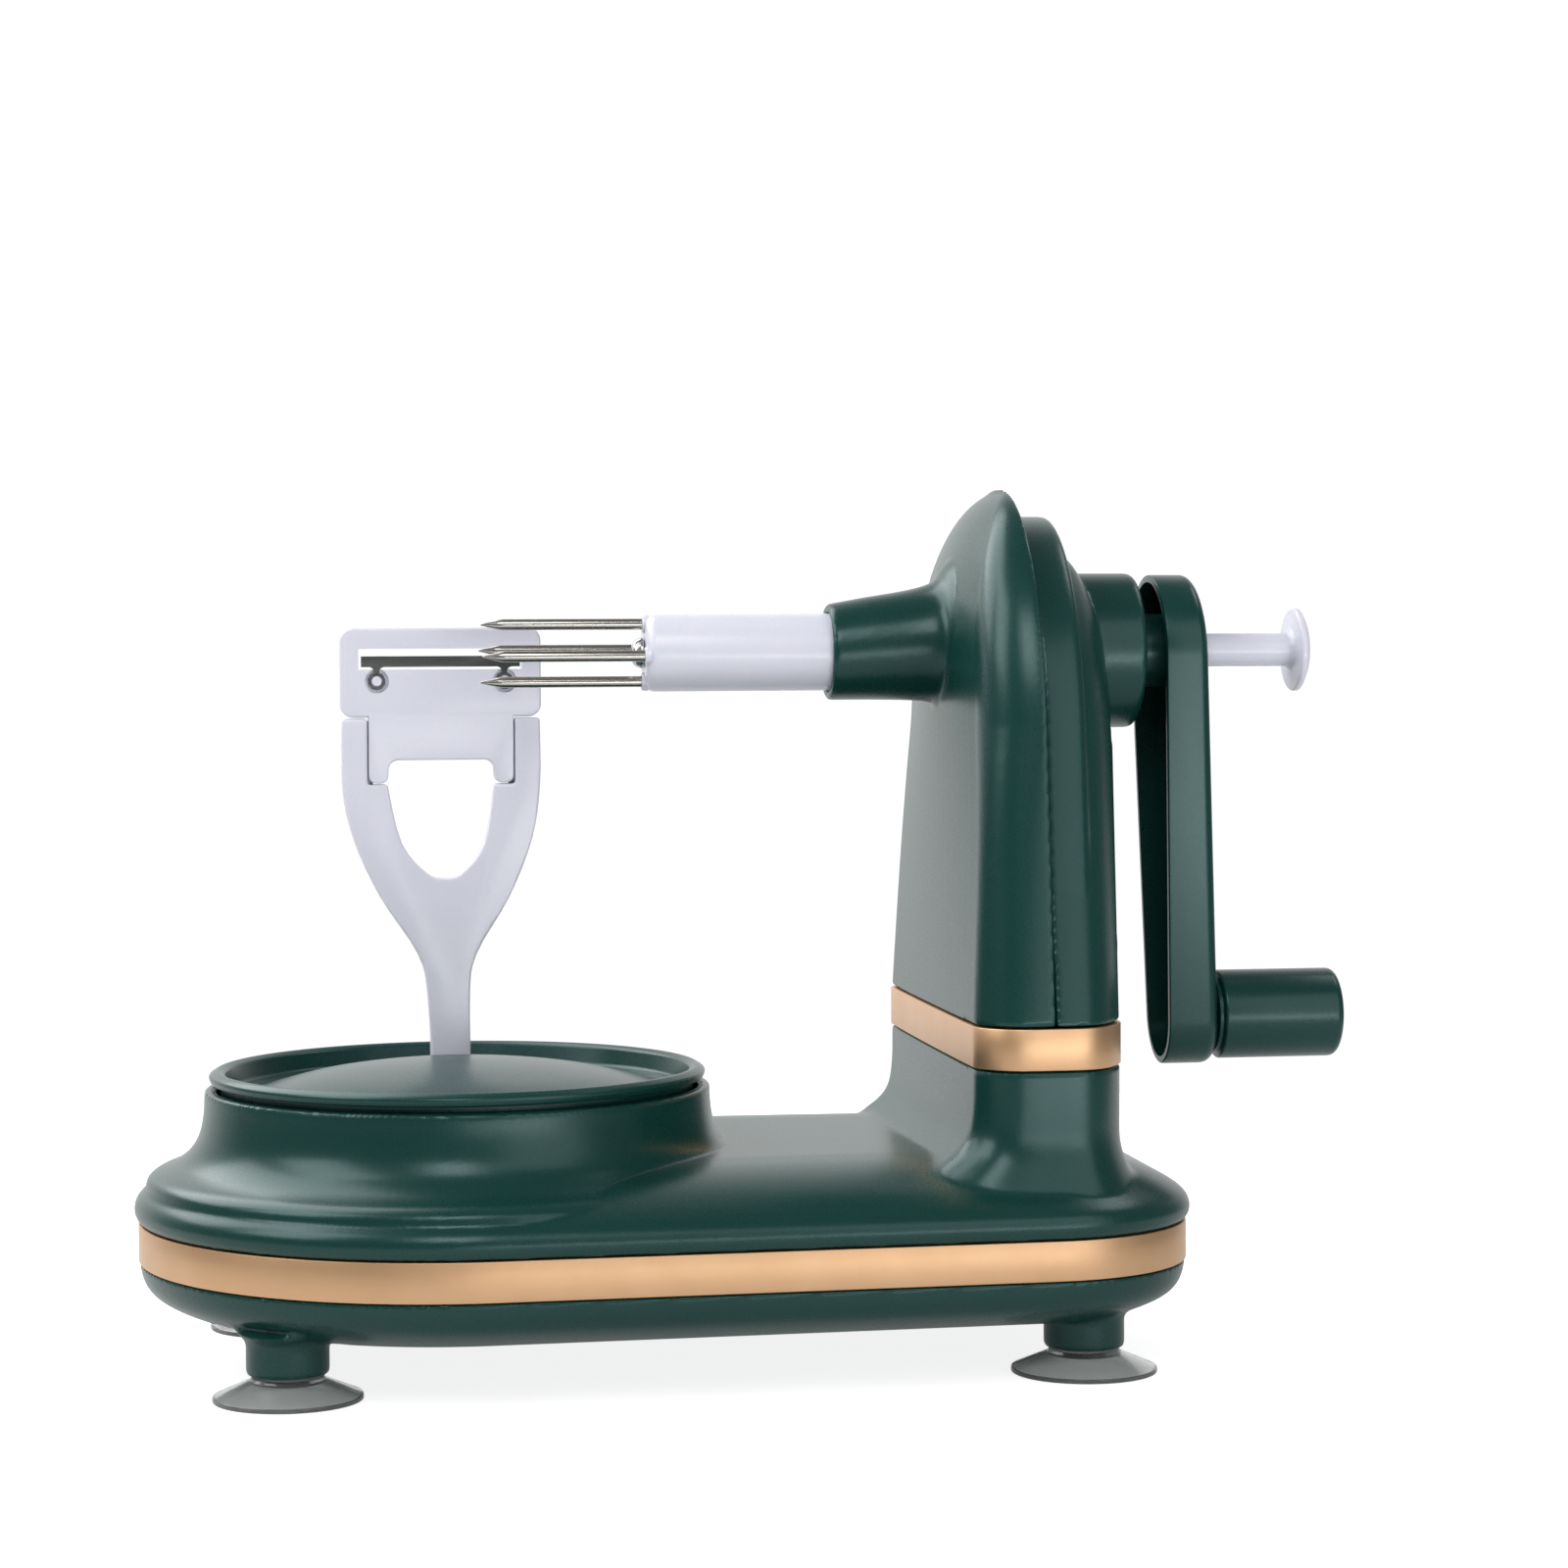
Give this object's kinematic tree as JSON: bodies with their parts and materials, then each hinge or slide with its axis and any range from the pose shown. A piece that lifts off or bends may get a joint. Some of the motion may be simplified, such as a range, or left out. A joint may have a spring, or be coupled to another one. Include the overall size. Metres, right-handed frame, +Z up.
{
  "type": "apple peeler",
  "caption": "Hand-cranked apple peeler: a pronged fork on a tower, a geared turntable with a sprung blade arm, and an oval base on suction cups.",
  "frame": {"origin": "on the table, under the middle of the machine", "axes": "+X along the machine from the turntable to the crank, +Z up, +Y to the back"},
  "size_m": [0.3306, 0.173, 0.2335],
  "materials": {
    "green_plastic": "satin dark teal-green moulding",
    "white_plastic": "glossy white moulding",
    "gold_trim": "satin gold",
    "steel": "bright drawn steel",
    "blade_steel": "ground blade steel",
    "screw_steel": "plated screws",
    "bush_brass": "sintered bronze",
    "gear_nylon": "natural nylon",
    "cup_rubber": "clear soft vinyl"
  },
  "bodies": {
    "base": {"base_lower_shell": "green_plastic", "base_upper_shell": "green_plastic", "base_band": "gold_trim", "tower_band": "gold_trim", "tower_front_shell": "green_plastic", "tower_rear_shell": "green_plastic", "suction_cup_1": "cup_rubber", "suction_cup_2": "cup_rubber", "suction_cup_3": "cup_rubber", "suction_cup_4": "cup_rubber", "case_screw_1": "screw_steel", "case_screw_2": "screw_steel", "case_screw_3": "screw_steel", "case_screw_4": "screw_steel", "tower_screw_1": "screw_steel", "tower_screw_2": "screw_steel", "tower_screw_3": "screw_steel", "tower_screw_4": "screw_steel", "shaft_bush_front": "bush_brass", "shaft_bush_rear": "bush_brass", "layshaft_bush_upper": "bush_brass", "layshaft_bush_lower": "bush_brass", "turntable_bush": "bush_brass", "idler_axle": "steel"},
    "crank": {"fork_hub": "white_plastic", "prong_1": "steel", "prong_2": "steel", "prong_3": "steel", "prong_4": "steel", "main_shaft": "steel", "worm": "gear_nylon", "crank_arm": "green_plastic", "knob_axle": "steel"},
    "knob": {"crank_knob": "green_plastic"},
    "ejector": {"ejector_rod": "white_plastic", "pusher_screw": "screw_steel"},
    "layshaft": {"layshaft": "steel", "worm_wheel": "gear_nylon", "pinion": "gear_nylon"},
    "idler": {"idler_gear": "gear_nylon"},
    "turntable": {"turntable": "green_plastic", "turntable_screw": "screw_steel", "turntable_gear": "gear_nylon", "arm_pin": "steel", "arm_spring": "steel"},
    "blade_arm": {"blade_arm": "white_plastic"},
    "cartridge": {"blade_cartridge": "white_plastic", "peeling_blade": "blade_steel", "blade_peg_1": "white_plastic", "blade_peg_2": "white_plastic"}
  },
  "joints": [
    {"name": "crank_turn", "type": "hinge", "parent": "base", "child": "crank", "pos_m": [0, 0, 0.1893], "axis": [-1, 0, 0], "range_deg": [-1440, 10080]},
    {"name": "layshaft_turn", "type": "hinge", "parent": "base", "child": "layshaft", "pos_m": [0.07135, 0.023, 0.1], "axis": [0, 0, 1], "range_deg": [-120.5, 840.5]},
    {"name": "idler_turn", "type": "hinge", "parent": "base", "child": "idler", "pos_m": [0.01481, 0.01007, 0.049], "axis": [0, 0, 1], "range_deg": [-219.5, 31.5]},
    {"name": "turntable_turn", "type": "hinge", "parent": "base", "child": "turntable", "pos_m": [-0.07865, 0, 0.07], "axis": [0, 0, 1], "range_deg": [-30.01, 210.01]},
    {"name": "arm_tilt", "type": "hinge", "parent": "turntable", "child": "blade_arm", "pos_m": [-0.07865, 0.032, 0.0655], "axis": [-1, 0, 0], "range_deg": [0, 20], "stiffness_Nm_per_rad": 0.3, "springref_deg": -20.05},
    {"name": "cartridge_release", "type": "slide", "parent": "blade_arm", "child": "cartridge", "axis": [0, 0, 1], "range_m": [0, 0.03]},
    {"name": "knob_spin", "type": "hinge", "parent": "crank", "child": "knob", "pos_m": [0.148, 0, 0.0883], "axis": [1, 0, 0], "continuous": true},
    {"name": "ejector_push", "type": "slide", "parent": "crank", "child": "ejector", "axis": [-1, 0, 0], "range_m": [0, 0.024]}
  ],
  "couplings": [
    {"joint": "layshaft_turn", "follows": "crank_turn", "ratio": 0.083333},
    {"joint": "idler_turn", "follows": "crank_turn", "ratio": -0.021739},
    {"joint": "turntable_turn", "follows": "crank_turn", "ratio": 0.020833}
  ]
}
